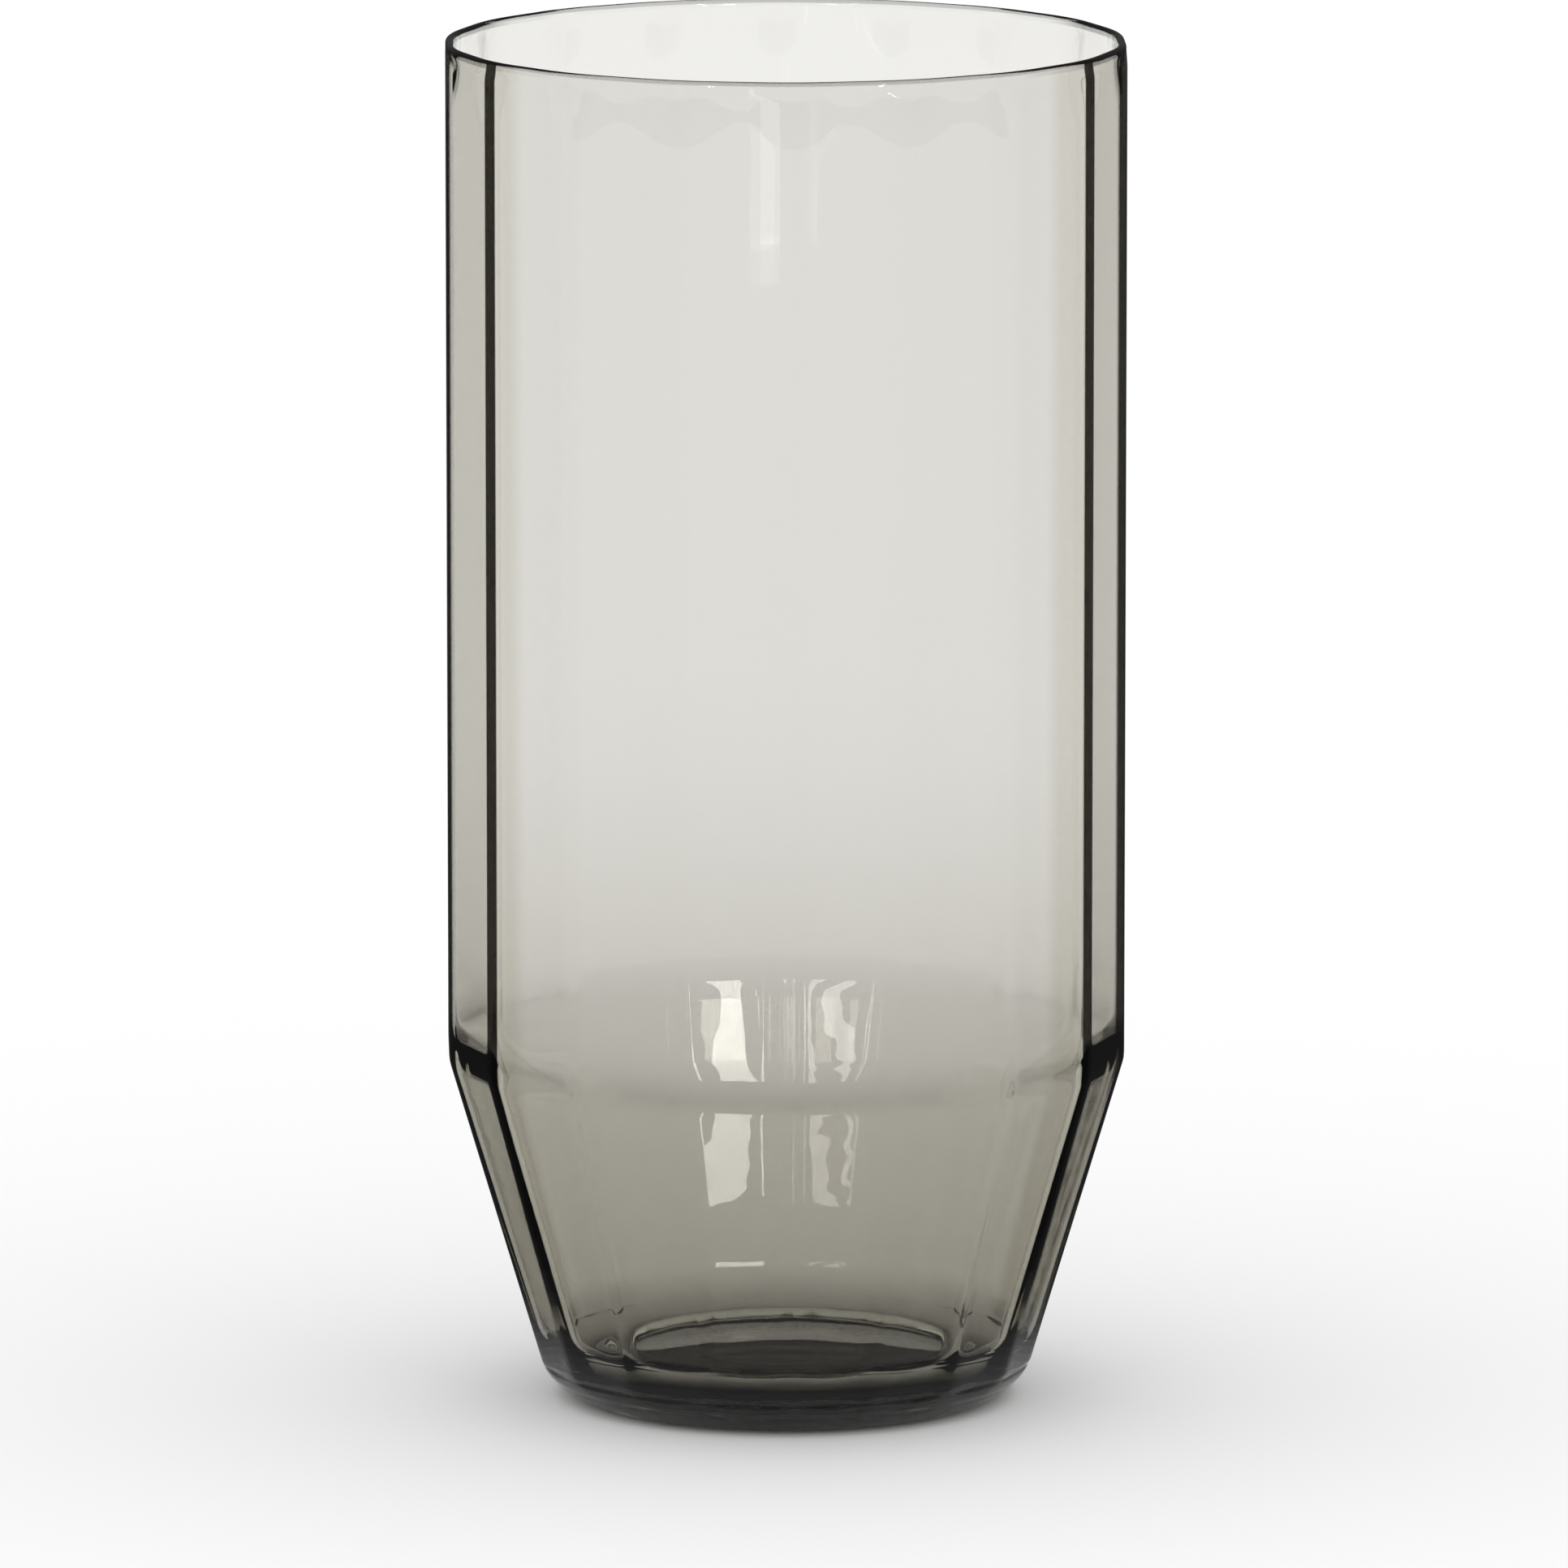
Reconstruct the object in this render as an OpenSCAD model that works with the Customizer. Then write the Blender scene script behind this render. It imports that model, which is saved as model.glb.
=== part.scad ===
// Faceted cylinder vase in smoke-grey glass.
// One blown vessel: round thin lip, straight many-sided body, many-sided
// taper below the knee, rounded foot with a shallow hollow underneath.
// Millimetres, +Z up, origin at the middle of the foot on the table plane.

/* [Body] */
// Overall height, table to lip
height = 250; // [200:1:300]
// Outer diameter, measured across the facet corners and at the lip
outer_d = 125; // [112:1:140]
// Height of the knee, where the straight body meets the taper
knee_h = 64; // [54:1:74]
// Lean of the taper below the knee, in degrees from upright
taper_angle = 16.8; // [13:0.1:18.5]
// Radius that eases the facet corners where they turn over the knee
knee_round = 5; // [3:0.5:8]
// Number of flat facets round the body
facets = 18; // [14:1:20]
// How far the sharp facet corners would stand outside the round body, which rounds them off
corner_ease = 0.12; // [0.06:0.02:0.3]

/* [Glass] */
// Wall thickness at the middle of a facet in the straight body
wall = 1.5; // [1.2:0.1:2.4]
// Thickness of the rounded lip
lip_t = 1.6; // [1.2:0.1:2.2]
// Height of the plain round band above the facets, up to the lip
rim_band = 1.4; // [1.2:0.2:6]
// Height over which the facets run out into the round band
facet_runout = 1.4; // [1.2:0.2:6]
// Lean of the inner wall below the knee, in degrees (more than the outside, so the glass thickens downwards)
inner_taper_angle = 18.4; // [16.8:0.1:20]
// How far the knee of the inner wall sits above the knee outside
inner_knee_up = 6; // [0.2:0.2:8]

/* [Foot] */
// Thickness of the floor
floor_t = 7; // [4:0.5:12]
// Radius of the rounded corner between taper and foot
foot_round = 11; // [7:0.5:13]
// Radius of the inside corner between wall and floor
inner_round = 12; // [8:0.5:16]
// Depth of the hollow under the foot
punt_depth = 1.6; // [0.6:0.2:2.6]
// Diameter of the hollow under the foot
punt_d = 52; // [40:1:56]

/* [Hidden] */
glass_colour = [0.62, 0.60, 0.55, 0.55];

outer_r = outer_d / 2;
facet_r = outer_r + corner_ease;
apothem = facet_r * cos(180 / facets);
inner_r = apothem - wall;
mouth_r = outer_r - lip_t;
lip_r = lip_t / 2;
facet_top = height - rim_band - facet_runout;
// lean of a flat facet below the knee, so that the facet corners lie along the taper
facet_lean = atan(tan(taper_angle) * cos(180 / facets));

// centre of the foot's rounded corner, tangent to the table plane and to the taper line
foot_c = (outer_r * cos(taper_angle) - knee_h * sin(taper_angle)
          - foot_round + foot_round * sin(taper_angle)) / cos(taper_angle);
foot_tr = foot_c + foot_round * cos(taper_angle);
foot_tz = foot_round - foot_round * sin(taper_angle);

// the inner wall starts to lean in above the outer knee, so the glass is thick there
inner_knee_h = knee_h + inner_knee_up;
// centre of the inside corner, tangent to the floor and to the inner taper line
inner_line_r = inner_r - (inner_knee_h - floor_t - inner_round) * tan(inner_taper_angle);
inner_c = inner_line_r - inner_round / cos(inner_taper_angle);
inner_tr = inner_c + inner_round * cos(inner_taper_angle);
inner_tz = floor_t + inner_round - inner_round * sin(inner_taper_angle);

// sphere radius of the hollow under the foot
punt_r = (pow(punt_d / 2, 2) + pow(punt_depth, 2)) / (2 * punt_depth);

// points along an arc: centre c, radius r, from angle a0 to a1 in n steps
function arc(c, r, a0, a1, n) =
    [for (i = [0:n]) let (a = a0 + (a1 - a0) * i / n) [c[0] + r * cos(a), c[1] + r * sin(a)]];

// section through the glass, from the axis outwards: round the foot, up the
// outside, over the lip, down the inside and along the floor
module wall_section() {
    polygon(concat(
        arc([0, punt_depth - punt_r], punt_r, 90, 90 - asin(punt_d / 2 / punt_r), 10),
        arc([foot_c, foot_round], foot_round, -90, -taper_angle, 14),
        arc([outer_r - knee_round, knee_h + knee_round * tan(taper_angle / 2)], knee_round, -taper_angle, 0, 3),
        arc([outer_r - lip_r, height - lip_r], lip_r, 0, 180, 12),
        [[mouth_r, facet_top + facet_runout], [inner_r, facet_top - 3], [inner_r, inner_knee_h]],
        arc([inner_c, floor_t + inner_round], inner_round, -inner_taper_angle, -90, 14),
        [[0, floor_t]]));
}

// many-sided prism that carries the flat facets of the straight body
module facet_prism() {
    translate([0, 0, -2])
        linear_extrude(height = facet_top + facet_runout + 3.5)
            polygon([for (i = [0:facets - 1])
                let (a = -90 + i * 360 / facets) [facet_r * cos(a), facet_r * sin(a)]]);
}

// one leaning slab outside a taper facet, to be cut away
module taper_slab() {
    translate([apothem, 0, knee_h])
        rotate([0, facet_lean, 0])
            translate([0, -outer_r, -knee_h * 1.6])
                cube([outer_r, 2 * outer_r, knee_h * 1.6 + outer_r * 2]);
}

// space above the running-out of the facets, where the glass stays round
module round_band() {
    rotate_extrude($fn = 180)
        polygon([[0, facet_top - 1], [apothem - 0.8, facet_top - 1], [apothem, facet_top],
                 [facet_r + 0.4, facet_top + facet_runout], [outer_r + 6, facet_top + facet_runout],
                 [outer_r + 6, height + 2], [0, height + 2]]);
}

module vessel() {
    color(glass_colour)
    intersection() {
        rotate_extrude($fn = 180) wall_section();
        difference() {
            union() {
                facet_prism();
                round_band();
            }
            for (i = [0:facets - 1])
                rotate([0, 0, -90 + (i + 0.5) * 360 / facets]) taper_slab();
        }
    }
}

vessel();
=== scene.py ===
import math

import bpy
import numpy as np
from mathutils import Matrix, Vector


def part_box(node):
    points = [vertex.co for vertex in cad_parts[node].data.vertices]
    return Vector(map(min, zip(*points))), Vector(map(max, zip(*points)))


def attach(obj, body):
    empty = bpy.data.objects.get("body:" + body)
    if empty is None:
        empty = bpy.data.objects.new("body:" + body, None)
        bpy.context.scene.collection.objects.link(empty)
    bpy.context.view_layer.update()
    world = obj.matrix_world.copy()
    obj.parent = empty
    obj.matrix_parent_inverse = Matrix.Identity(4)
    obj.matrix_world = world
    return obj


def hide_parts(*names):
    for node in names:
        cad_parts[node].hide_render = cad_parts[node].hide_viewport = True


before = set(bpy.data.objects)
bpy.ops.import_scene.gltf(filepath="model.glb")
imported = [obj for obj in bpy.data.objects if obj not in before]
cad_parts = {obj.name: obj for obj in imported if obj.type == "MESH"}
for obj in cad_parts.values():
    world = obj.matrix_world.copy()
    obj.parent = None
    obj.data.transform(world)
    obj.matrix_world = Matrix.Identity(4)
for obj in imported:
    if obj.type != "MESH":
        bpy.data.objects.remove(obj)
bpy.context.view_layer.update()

MM = 0.001
LO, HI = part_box("vessel")
H = HI[2] / MM                       # 250
R = (HI[0] - LO[0]) / 2 / MM         # 62.5

# ---------------------------------------------------------------- sizes, mm
N = 18                               # facets
KNEE = 64.0
TAPER = math.radians(16.8)
EASE = 0.12
WALL = 1.5
LIP = 1.6
INNER_TAPER = math.radians(18.4)
FLOOR = 7.0
FOOT_ROUND = 11.0
INNER_ROUND = 12.0
PUNT_DEPTH = 1.6
PUNT_D = 52.0
CREASE = 0.9                         # outside radius of a facet corner
CREASE_IN = 15.0                     # and inside
CREASE_LIP = 40.0                    # and at the lip, which is nearly round
HALF = math.pi / N
APO = (R + EASE) * math.cos(HALF)
LEAN = math.tan(TAPER) * math.cos(HALF)
INNER_R = APO - WALL


def arc(c, r, a0, a1, n):
    t = np.radians(np.linspace(a0, a1, n + 1))
    return [(c[0] + r * math.cos(a), c[1] + r * math.sin(a)) for a in t]


def rail(a, b, n):
    """points from a to b, without a"""
    return [(a[0] + (b[0] - a[0]) * i / n, a[1] + (b[1] - a[1]) * i / n) for i in range(1, n + 1)]


def soft_min(a, b, k):
    h = np.clip(0.5 + 0.5 * (b - a) / k, 0, 1)
    return b + (a - b) * h - k * h * (1 - h)


# angles round the vase, closer together at the facet corners
STEPS = np.array([0, 0.35, 0.8, 1.3, 1.9, 2.7, 3.8, 5.4, 7.6, 10.0])
STEPS = np.concatenate([-STEPS[:0:-1], STEPS])[:-1]
ANG = np.radians(np.concatenate([v * 20.0 + STEPS for v in range(N)]))   # from -Y towards +X


def facet_radius(apothem, corner, ang=None):
    """radius of the many-sided outline with rounded corners, at each angle"""
    ang = ANG if ang is None else ang
    d = (ang + HALF) % (2 * HALF) - HALF            # from the nearest corner
    flat = apothem / np.cos(HALF - np.abs(d))
    c = (apothem - corner) / math.cos(HALF)
    s = c * np.sin(np.abs(d))
    arc_r = c * np.cos(d) + np.sqrt(np.maximum(corner ** 2 - s ** 2, 0))
    # the arc holds while its own normal lies within the corner
    px, py = arc_r * np.cos(d) - c, arc_r * np.sin(np.abs(d))
    on_arc = np.arctan2(py, np.maximum(px, 1e-9)) <= HALF
    return np.where(on_arc, arc_r, flat)


def outer_apothem(z):
    """distance of the facets from the axis at height z: straight, and tapered below the knee"""
    low = APO - (KNEE - z) * LEAN
    return float(soft_min(np.float64(APO), np.float64(low), 0.5))


# ---------------------------------------------------------------- section
foot_c = (R * math.cos(TAPER) - KNEE * math.sin(TAPER) - FOOT_ROUND + FOOT_ROUND * math.sin(TAPER)) / math.cos(TAPER)
punt_r = ((PUNT_D / 2) ** 2 + PUNT_DEPTH ** 2) / (2 * PUNT_DEPTH)
half_punt = math.degrees(math.asin(PUNT_D / 2 / punt_r))
outside = arc((0, PUNT_DEPTH - punt_r), punt_r, 90, 90 - half_punt, 10)
outside += rail(outside[-1], (foot_c, 0), 3)
outside += arc((foot_c, FOOT_ROUND), FOOT_ROUND, -90, -math.degrees(TAPER), 44)[1:]
t = math.tan(TAPER)
outside += rail(outside[-1], (R - 3 * t, KNEE - 3), 10)
outside += [(R - d * t, KNEE - d) for d in (2.2, 1.5, 1.0, 0.6, 0.3)] + [(R, KNEE)] + [(R, KNEE + d) for d in (0.3, 0.6, 1.0, 1.5, 2.2, 3.0)]
outside += rail((R, KNEE + 3), (R, H - 8), 12)
outside += rail((R, H - 8), (R, H - LIP / 2), 16)
lip = arc((R - LIP / 2, H - LIP / 2), LIP / 2, 0, 180, 12)[1:]

knee_in = KNEE + 4.5
KNEE_SOFT = 28.0
line_r = INNER_R - (knee_in - FLOOR - INNER_ROUND) * math.tan(INNER_TAPER)
inner_c = line_r - INNER_ROUND / math.cos(INNER_TAPER)
inside = rail((R - LIP, H - LIP / 2), (R - LIP, H - 13.5), 16)
inside += [(INNER_R, H - 14.5)]
knee_arc = arc((INNER_R - KNEE_SOFT, knee_in + KNEE_SOFT * math.tan(INNER_TAPER / 2)), KNEE_SOFT, 0, -math.degrees(INNER_TAPER), 14)
inside += rail(inside[-1], knee_arc[0], 40) + knee_arc[1:]
corner = arc((inner_c, FLOOR + INNER_ROUND), INNER_ROUND, -math.degrees(INNER_TAPER), -90, 34)
inside += rail(inside[-1], corner[0], 52) + corner[1:]
inside += rail(inside[-1], (28.5, FLOOR), 10)
inside += rail(inside[-1], (0.0, FLOOR), 8)
# low ridge round the floor
RIDGE = 31.6
inside = [(r, z + 1.4 * math.exp(-((r - RIDGE) / 0.8) ** 2)) if r < 37 and z < 12 else (r, z) for r, z in inside]


def wave(ang, z, seed):
    """slow, smooth unevenness of blown glass, about -1 to 1"""
    rng = np.random.default_rng(seed)
    out = np.zeros_like(ang)
    for _ in range(14):
        k = rng.integers(1, 12)
        q = rng.uniform(0.01, 0.09)
        out += rng.uniform(0.4, 1) * np.sin(k * ang + q * z + rng.uniform(0, 6.28)) / 14 ** 0.5
    return out


def build():
    rings = []
    for i, (r, z) in enumerate(outside):
        rad = np.full_like(ANG, r)
        if z < H - LIP / 2 + 0.01 and z > 0.02:
            h = min(1.0, max(0.0, (z - H + 5) / (5 - LIP / 2)))
            corner = CREASE + (CREASE_LIP - CREASE) * h * h * (3 - 2 * h)
            rad = soft_min(rad, facet_radius(outer_apothem(z), corner), 0.25) if r > foot_c - 2 else rad
        if 1 < z < 14:
            w = 0.7 + 0.5 * wave(ANG * 3, 0 * z, 31)
            rad = rad - 0.22 * w * (math.exp(-((z - 6.4) / 0.5) ** 2) + 0.8 * math.exp(-((z - 3.6) / 0.4) ** 2)) + 0.12 * w * math.exp(-((z - 8.4) / 0.5) ** 2)
        rings.append((rad, z))
    lip_r = soft_min(np.full_like(ANG, R), facet_radius(outer_apothem(H), CREASE_LIP), 0.25)
    for r, z in lip:
        rings.append((lip_r - (R - r), z))
    for r, z in inside:
        rad = lip_r - LIP if z > H - 14 else np.full_like(ANG, r)
        if z < 12 and abs(r - RIDGE) < 3:
            rad = rad + 0.30 * wave(ANG, 0 * z, 41) * math.exp(-((r - RIDGE) / 1.5) ** 2)
        if z < 20 and r > 34:
            w = 0.5 + 0.5 * wave(ANG * 2, 0 * z, 21)
            rad = rad - 0.12 * w * math.exp(-((r - 39.2) / 0.9) ** 2)
        if FLOOR + 1 < z < H - LIP / 2:
            u = min(1.0, (z - FLOOR - 1) / 5)
            h = min(1.0, (H - LIP / 2 - z) / 12)
            u *= h * h * (3 - 2 * h)
            facet = facet_radius(min(outer_apothem(z) - WALL, r), CREASE_IN)
            rad = rad * (1 - u) + facet * u
            deep = min(1.0, max(0.0, (78 - z) / 20)) * u
            fade = min(1.0, (H - z) / 12)
            calm = 1 - 0.93 * np.exp(-((np.degrees(ANG) - 189) / 9) ** 2)
            side = np.exp(-((np.degrees(ANG) - 71) / 7) ** 2)
            fine = 0.0035 * deep + 0.010 * side
            rad = rad + (0.020 * wave(ANG, z, 3) + calm * (deep * 0.012 * wave(ANG, z * 5, 5) + fine * wave(ANG * 4, z * 22, 8))) * u * fade
        rings.append((rad, z))
    verts, faces = [], []
    n = len(ANG)
    ring_start = []
    for rad, z in rings:
        if rad.max() < 1e-6:
            ring_start.append((len(verts), 1))
            verts.append((0.0, 0.0, z))
        else:
            ring_start.append((len(verts), n))
            verts += [(rr * math.sin(a), -rr * math.cos(a), z) for rr, a in zip(rad, ANG)]
    for (s0, n0), (s1, n1) in zip(ring_start, ring_start[1:]):
        for j in range(n):
            k = (j + 1) % n
            if n0 == 1:
                faces.append((s0, s1 + j, s1 + k)[::-1])
            elif n1 == 1:
                faces.append((s0 + j, s0 + k, s1))
            else:
                faces.append((s0 + j, s0 + k, s1 + k, s1 + j))
    me = bpy.data.meshes.new("vase_glass")
    me.from_pydata([(x * MM, y * MM, z * MM) for x, y, z in verts], [], faces)
    me.validate()
    me.update()
    for p in me.polygons:
        p.use_smooth = True
    ob = bpy.data.objects.new("vase_glass", me)
    bpy.context.scene.collection.objects.link(ob)
    return ob


vase = build()
import bmesh
bm = bmesh.new(); bm.from_mesh(vase.data)
bmesh.ops.recalc_face_normals(bm, faces=bm.faces)
vol = bm.calc_volume(signed=True)
print("vase volume cm3", vol * 1e6, "faces", len(bm.faces))
bm.to_mesh(vase.data); bm.free()

# ---------------------------------------------------------------- glass
mat = bpy.data.materials.new("smoke_glass")
mat.use_nodes = True
nt = mat.node_tree
bsdf = nt.nodes["Principled BSDF"]
bsdf.inputs["Roughness"].default_value = 0.0
bsdf.inputs["IOR"].default_value = 1.52
bsdf.inputs["Transmission Weight"].default_value = 1.0
vol_n = nt.nodes.new("ShaderNodeVolumeAbsorption")
vol_n.inputs["Color"].default_value = (0.45, 0.435, 0.31, 1)
vol_n.inputs["Density"].default_value = 85.0
nt.links.new(vol_n.outputs["Volume"], nt.nodes["Material Output"].inputs["Volume"])


def link(value, socket):
    if hasattr(value, "is_output"):
        nt.links.new(value, socket)
    else:
        socket.default_value = value


def calc(op, a, b=0.0, c=0.0):
    n = nt.nodes.new("ShaderNodeMath")
    n.operation = op
    for v, sock in zip((a, b, c), n.inputs):
        link(v, sock)
    return n.outputs[0]


def step(value, lo, hi):
    """0 below lo and 1 above hi, or the other way round when lo > hi"""
    n = nt.nodes.new("ShaderNodeMapRange")
    n.interpolation_type = "SMOOTHSTEP"
    a, b, c, d = (lo, hi, 0.0, 1.0) if lo < hi else (hi, lo, 1.0, 0.0)
    link(value, n.inputs["Value"])
    for k, v in zip(("From Min", "From Max", "To Min", "To Max"), (a, b, c, d)):
        n.inputs[k].default_value = v
    return n.outputs["Result"]


def tint_by(value, stops):
    """colour that follows value, stops are (position, grey or colour)"""
    n = nt.nodes.new("ShaderNodeValToRGB")
    e = n.color_ramp.elements
    while len(e) < len(stops):
        e.new(0.5)
    for el, (p, c) in zip(e, stops):
        el.position = p
        w = 1 - c
        el.color = (c, c * (1 - 0.07 * w), c * (1 - 0.22 * w), 1)
    link(value, n.inputs["Fac"])
    return n.outputs["Color"]


def blend(a, b, fac, kind="MIX"):
    n = nt.nodes.new("ShaderNodeMix")
    n.data_type = "RGBA"
    n.blend_type = kind
    link(fac, n.inputs["Factor"])
    link(a, n.inputs[6])
    link(b, n.inputs[7])
    return n.outputs[2]


tc = nt.nodes.new("ShaderNodeTexCoord")
xyz = nt.nodes.new("ShaderNodeSeparateXYZ")
nt.links.new(tc.outputs["Object"], xyz.inputs["Vector"])
X, Y, Z = (calc("MULTIPLY", xyz.outputs[k], 1000.0) for k in "XYZ")
rad = calc("SQRT", calc("ADD", calc("MULTIPLY", X, X), calc("MULTIPLY", Y, Y)))
turn = calc("MULTIPLY", calc("ARCTAN2", X, calc("MULTIPLY", Y, -1.0)), N / (2 * math.pi))
off = calc("PINGPONG", turn, 0.5)                    # 0 at a facet corner, 0.5 in the middle of a facet
noise = nt.nodes.new("ShaderNodeTexNoise")
noise.inputs["Scale"].default_value = 130.0
noise.inputs["Detail"].default_value = 2.0
nt.links.new(tc.outputs["Object"], noise.inputs["Vector"])
uneven = calc("SUBTRACT", noise.outputs["Fac"], 0.5)


def slant(normal=None):
    """0 where the surface faces the eye, 1 where it is seen edge-on"""
    n = nt.nodes.new("ShaderNodeLayerWeight")
    n.inputs["Blend"].default_value = 0.5
    if normal is not None:
        nt.links.new(normal, n.inputs["Normal"])
    return n.outputs["Facing"]


flat = nt.nodes.new("ShaderNodeCombineXYZ")
nt.links.new(X, flat.inputs["X"])
nt.links.new(Y, flat.inputs["Y"])
unit = nt.nodes.new("ShaderNodeVectorMath")
unit.operation = "NORMALIZE"
nt.links.new(flat.outputs[0], unit.inputs[0])
facing = slant()
round_facing = slant(unit.outputs[0])

# darker towards the bottom: partly the thicker glass low down, partly painted shade of the shadowed floor seen through
# it
body = tint_by(calc("DIVIDE", Z, 125.0), [(0.0, 0.77), (0.44, 0.765), (0.50, 0.775), (0.56, 0.81), (0.632, 0.85), (0.72, 0.875), (0.88, 0.91), (1.0, 0.93)])
# thick floor, painted light and shade: a dark disc as painted shadow of the table under the foot, a clear line round
# it as a painted highlight, painted shade above the line
r_soft = calc("ADD", calc("ADD", rad, calc("MULTIPLY", uneven, 3.0)), calc("MULTIPLY", calc("SUBTRACT", 0.25, off), 2.0))
floor_painted_shade = tint_by(calc("DIVIDE", r_soft, 50.0), [(0.0, 0.46), (0.29, 0.42), (0.35, 0.08), (0.595, 0.08), (0.608, 1.0), (0.642, 1.0), (0.655, 0.38), (0.70, 0.58), (0.80, 0.78), (0.90, 0.82)])
inner_foot = calc("MULTIPLY", calc("MULTIPLY", step(Z, 6.5, 6.9), step(Z, 17.0, 14.0)), step(rad, 44.6, 43.8))
# painted shadow of the table under the foot, on the bottom face
painted_shadow_under_foot = calc("MULTIPLY", step(Z, 2.6, 2.0), step(rad, 33.0, 31.0))
tint = blend(body, floor_painted_shade, inner_foot)
tint = blend(tint, (0.60, 0.57, 0.52, 1.0), painted_shadow_under_foot)
# painted shade: outer corners and edges seen at a slant, and the lip, are painted dark
skin = step(calc("ADD", rad, calc("MULTIPLY", calc("MAXIMUM", calc("SUBTRACT", KNEE, Z), 0.0), math.tan(TAPER))), 61.0, 61.3)
# painted shade: the facets at the sides, seen through more glass, are darkened and warmed in the colour
side_facet_painted_shade = calc("MULTIPLY", step(round_facing, 0.36, 0.43), calc("MULTIPLY", skin, step(Z, 12.0, 22.0)))
tint = blend(tint, (0.78, 0.76, 0.70, 1.0), side_facet_painted_shade, "MULTIPLY")
painted_dark_corner = calc("MULTIPLY", calc("MULTIPLY", step(off, 0.092, 0.074), step(round_facing, 0.36, 0.43)), calc("MULTIPLY", skin, step(Z, 12.0, 22.0)))
painted_dark_edge = calc("MULTIPLY", calc("MULTIPLY", step(round_facing, 0.765, 0.80), skin), calc("ADD", 0.45, calc("MULTIPLY", step(Z, 50.0, 62.0), 0.55)))
# painted shade: a dark line along the lip, darker where the lip is seen at a slant
painted_lip_line = calc("MULTIPLY", step(Z, 249.15, 249.4), 0.55)
painted_lip_side = calc("MULTIPLY", step(Z, 248.4, 248.8), calc("MULTIPLY", step(facing, 0.25, 0.6), 0.75))
shade = calc("MAXIMUM", calc("MAXIMUM", painted_dark_corner, painted_dark_edge), calc("MAXIMUM", painted_lip_line, painted_lip_side))
tint = blend(tint, (0.0016, 0.0013, 0.0008, 1.0), shade)
nt.links.new(tint, bsdf.inputs["Base Color"])
vase.data.materials.append(mat)

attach(vase, "root")
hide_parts("vessel")

# ---------------------------------------------------------------- floor, light, camera
def plain(name, colour, rough=0.9, glow=0.0):
    m = bpy.data.materials.new(name)
    m.use_nodes = True
    b = m.node_tree.nodes["Principled BSDF"]
    b.inputs["Base Color"].default_value = (*colour, 1)
    b.inputs["Roughness"].default_value = rough
    b.inputs["Specular IOR Level"].default_value = 0.0
    b.inputs["Emission Color"].default_value = (1, 1, 1, 1)
    b.inputs["Emission Strength"].default_value = glow
    return m

bpy.ops.mesh.primitive_plane_add(size=30, location=(0, 0, 0))
floor = bpy.context.object
floor.name = "floor"
floor.data.materials.append(plain("floor_paper", (0.92, 0.92, 0.92)))

world = bpy.data.worlds.new("studio")
bpy.context.scene.world = world
world.use_nodes = True
bg = world.node_tree.nodes["Background"]
bg.inputs["Color"].default_value = (1, 1, 1, 1)
bg.inputs["Strength"].default_value = 1.1


def area(name, loc, target, sx, sy, power, camera=False):
    l = bpy.data.lights.new(name, "AREA")
    l.shape = "RECTANGLE"
    l.size, l.size_y = sx, sy
    l.energy = power
    o = bpy.data.objects.new(name, l)
    o.location = loc
    o.rotation_euler = (Vector(target) - Vector(loc)).to_track_quat("-Z", "Y").to_euler()
    o.visible_camera = camera
    bpy.context.scene.collection.objects.link(o)
    return o

def reflection_card(name, az0, az1, dist, z1, z0=0.0, glow=0.08, first_only=False):
    """dark upright card with a faint glow, a painted reflection of dim surroundings seen only in reflections and,
    unless first_only, through the glass; a stretch of a cylinder wall, azimuth from +Y towards -X
    """
    n = 48
    v, f = [], []
    for i in range(n + 1):
        a = math.radians(az0 + (az1 - az0) * i / n)
        x, y = -math.sin(a) * dist, math.cos(a) * dist
        v += [(x, y, z0), (x, y, z1)]
        if i:
            f.append((2 * i - 2, 2 * i, 2 * i + 1, 2 * i - 1))
    me = bpy.data.meshes.new(name)
    me.from_pydata(v, [], f)
    o = bpy.data.objects.new(name, me)
    bpy.context.scene.collection.objects.link(o)
    me.materials.append(plain(name, (0.004, 0.004, 0.004), glow=glow))
    o.visible_camera = o.visible_diffuse = o.visible_shadow = False
    o.visible_transmission = not first_only
    return o


GLOSS_GLOW = 0.035
HIGH_GLOW = 0.08
reflection_card("card_ring", 0, 360, 2.4, 2.2, glow=GLOSS_GLOW, first_only=True)
reflection_card("card_high", 0, 360, 2.2, 2.2, z0=0.32, glow=HIGH_GLOW)
reflection_card("card_front", 104, 256, 2.6, 2.0)


def reflection_floor_ring(name, r0, r1, z, glow):
    n = 64
    v = [(q * math.cos(2 * math.pi * i / n), q * math.sin(2 * math.pi * i / n), z) for i in range(n) for q in (r0, r1)]
    f = [(2 * i, 2 * i + 1, (2 * i + 3) % (2 * n), (2 * i + 2) % (2 * n)) for i in range(n)]
    me = bpy.data.meshes.new(name)
    me.from_pydata(v, [], f)
    o = bpy.data.objects.new(name, me)
    bpy.context.scene.collection.objects.link(o)
    me.materials.append(plain(name, (0.004, 0.004, 0.004), glow=glow))
    o.visible_camera = o.visible_diffuse = o.visible_shadow = o.visible_transmission = False


# painted reflection: glowing rings on the floor, seen only in reflections, darker step by step away from the foot
EDGES = [0.050, 0.053, 0.056, 0.059, 0.062, 0.066, 0.070, 0.075, 0.080, 0.088, 0.10]
for i in range(len(EDGES) - 1):
    reflection_floor_ring("card_floor_%d" % i, EDGES[i], EDGES[i + 1], 0.0005, GLOSS_GLOW + 0.36 * (1 - i / (len(EDGES) - 1)) ** 1.5)
reflection_floor_ring("card_floor", 0.10, 2.4, 0.0005, GLOSS_GLOW)


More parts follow.
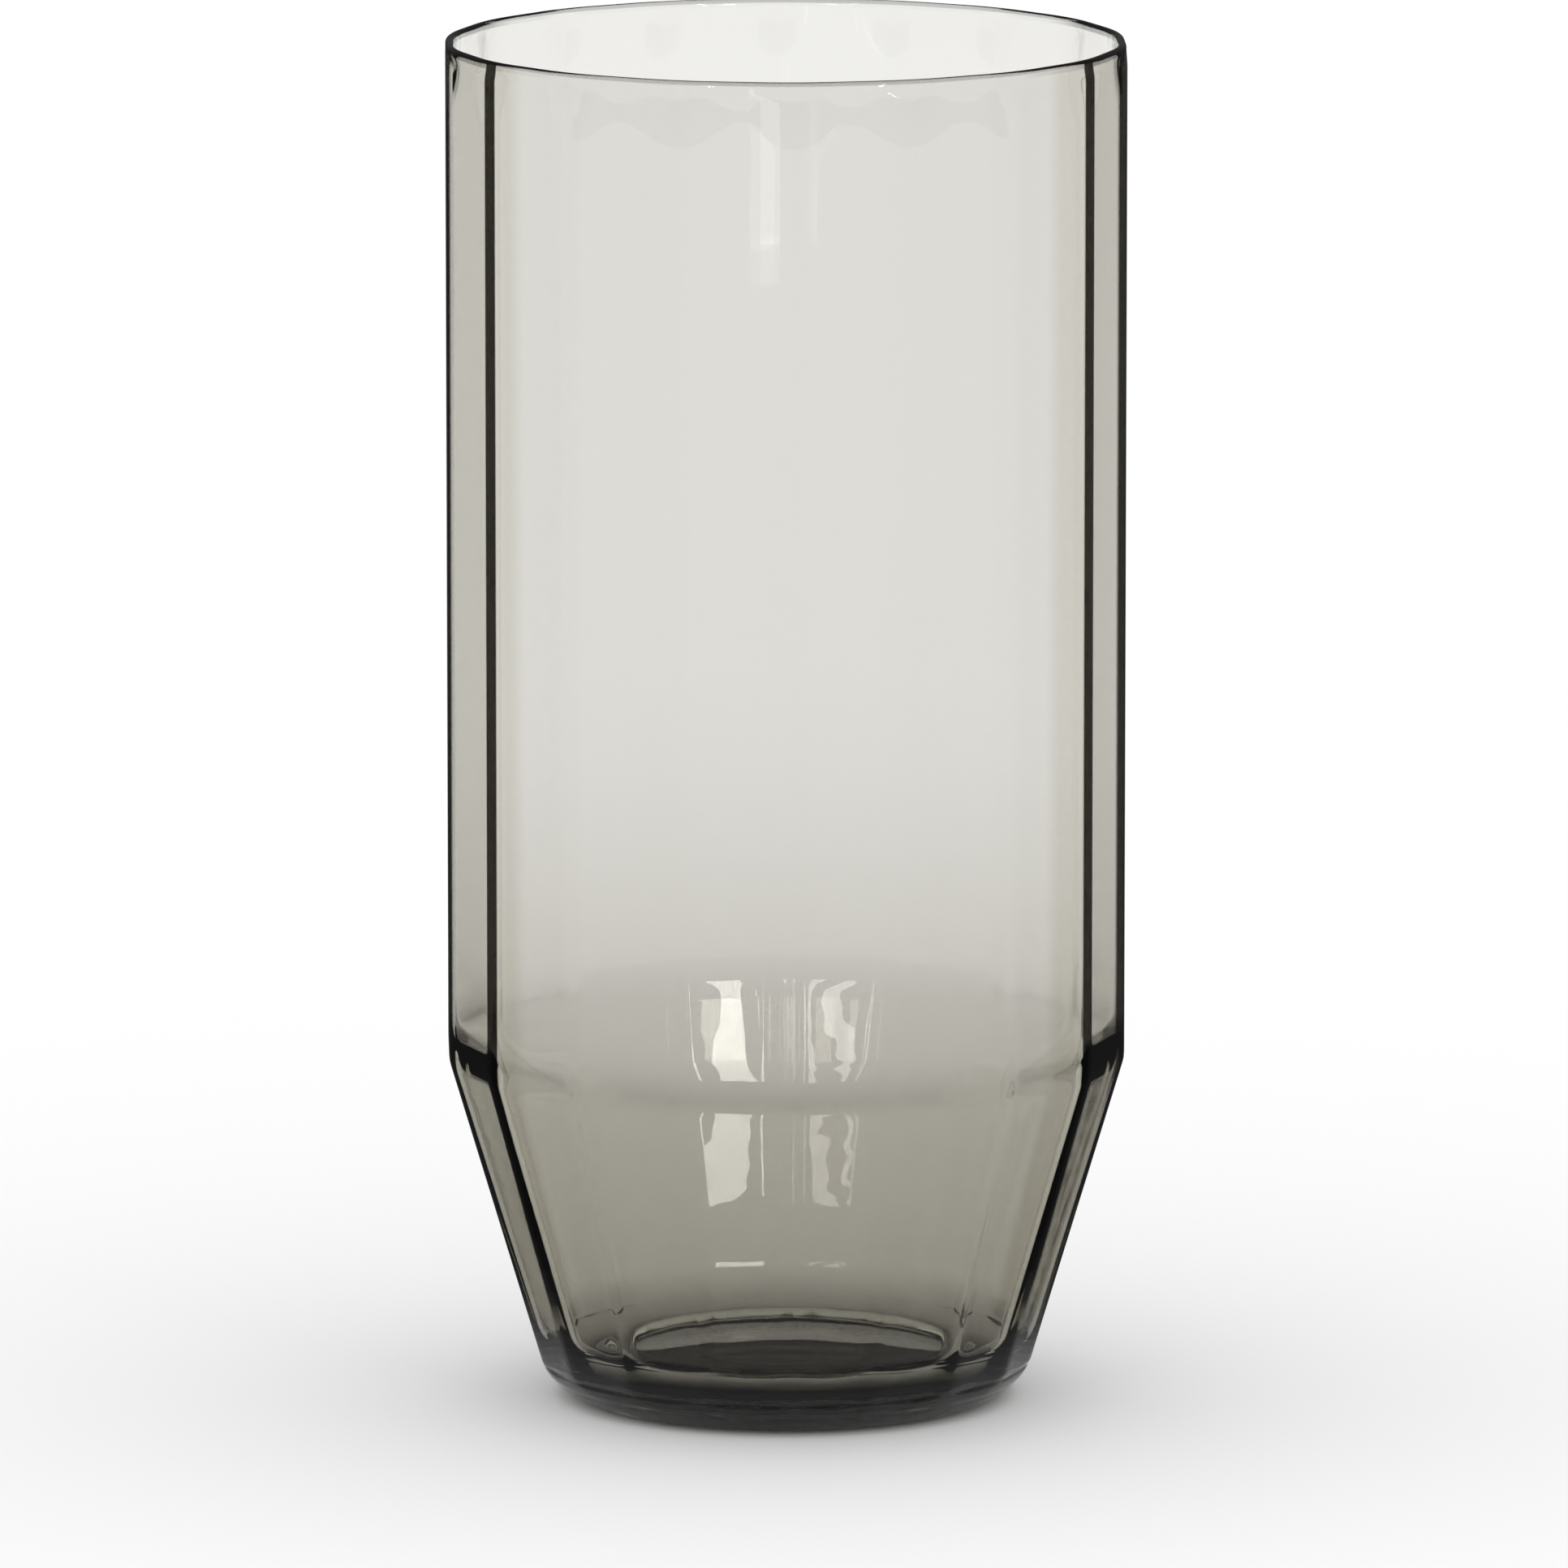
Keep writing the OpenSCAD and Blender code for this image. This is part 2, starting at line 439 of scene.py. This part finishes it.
# painted reflection: dark disc overhead with a faint glow, seen only in reflections and through the glass
def reflection_ceiling(name, z, rad):
    n = 32
    me = bpy.data.meshes.new(name)
    me.from_pydata([(rad * math.cos(2 * math.pi * i / n), rad * math.sin(2 * math.pi * i / n), z) for i in range(n)],
                   [], [tuple(range(n))])
    o = bpy.data.objects.new(name, me)
    bpy.context.scene.collection.objects.link(o)
    me.materials.append(plain(name, (0.02, 0.02, 0.02), glow=0.16))
    o.visible_camera = o.visible_diffuse = o.visible_shadow = False


reflection_ceiling("card_ceiling", 2.0, 3.0)


def strip(name, x0, y0, a, t, z0, z1, w, radiance, lean=0.0):
    """upright strip light seen by reflection at (x0, y0): direction a from -Y towards +X, distance t"""
    r = math.radians(a)
    out = Vector((math.sin(r), -math.cos(r), 0))
    side = Vector((math.cos(r), math.sin(r), 0))
    along = (Vector((0, 0, 1)) + side * lean).normalized()
    o = area(name, Vector((x0 * MM, y0 * MM, 0)) + out * t + Vector((0, 0, (z0 + z1) / 2 * MM)), (0, 0, 0),
             w * MM, (z1 - z0) * MM, radiance * math.pi * w * (z1 - z0) * MM * MM)
    across = along.cross(out).normalized()
    o.rotation_euler = Matrix((across, along, out)).transposed().to_euler()
    return o


strip("strip_front_left", -2.2, -61.5, -18.5, 0.40, 166, 205, 8.5, 1.2)
strip("strip_front_left_low", -2.2, -61.5, -18.5, 0.401, 158, 168, 8.5, 0.6)
strip("strip_front_right", 2.2, -61.5, 21.5, 0.40, 166, 205, 4.5, 0.45)
strip("strip_back_left", 5.8, 50, 21.45, 0.50, 232, 400, 8.5, 14, 0.117)
strip("strip_back_right", 3.4, 50, -19.6, 0.50, 232, 400, 5.0, 7, -0.117)
strip("strip_back_far", 12.0, 50, -19.6, 0.50, 232, 400, 3.2, 7, -0.117)

D = 50 * R * MM
PITCH = math.radians(9.43)
TURN = math.radians(-1.5)
F_PX = 421.9 * 50
centre = Vector((0, 0, 0.125))
back = Vector((math.sin(TURN) * math.cos(PITCH), -math.cos(TURN) * math.cos(PITCH), math.sin(PITCH)))
cam_d = bpy.data.cameras.new("camera")
cam_d.lens = F_PX / 1932 * 36
cam_d.sensor_width = 36
cam_d.clip_start, cam_d.clip_end = 0.1, 60
cam = bpy.data.objects.new("camera", cam_d)
bpy.context.scene.collection.objects.link(cam)
cam.location = centre + back * D
right = Vector((math.cos(TURN), math.sin(TURN), 0))
up = back.cross(right).normalized()
px = R * MM / 421.9
aim = centre - up * (79.3 * px) - right * (1.8 * px)
cam.rotation_mode = "QUATERNION"
cam.rotation_quaternion = (aim - cam.location).to_track_quat("-Z", "Y")
bpy.context.scene.camera = cam
bpy.context.scene.view_settings.view_transform = "Standard"
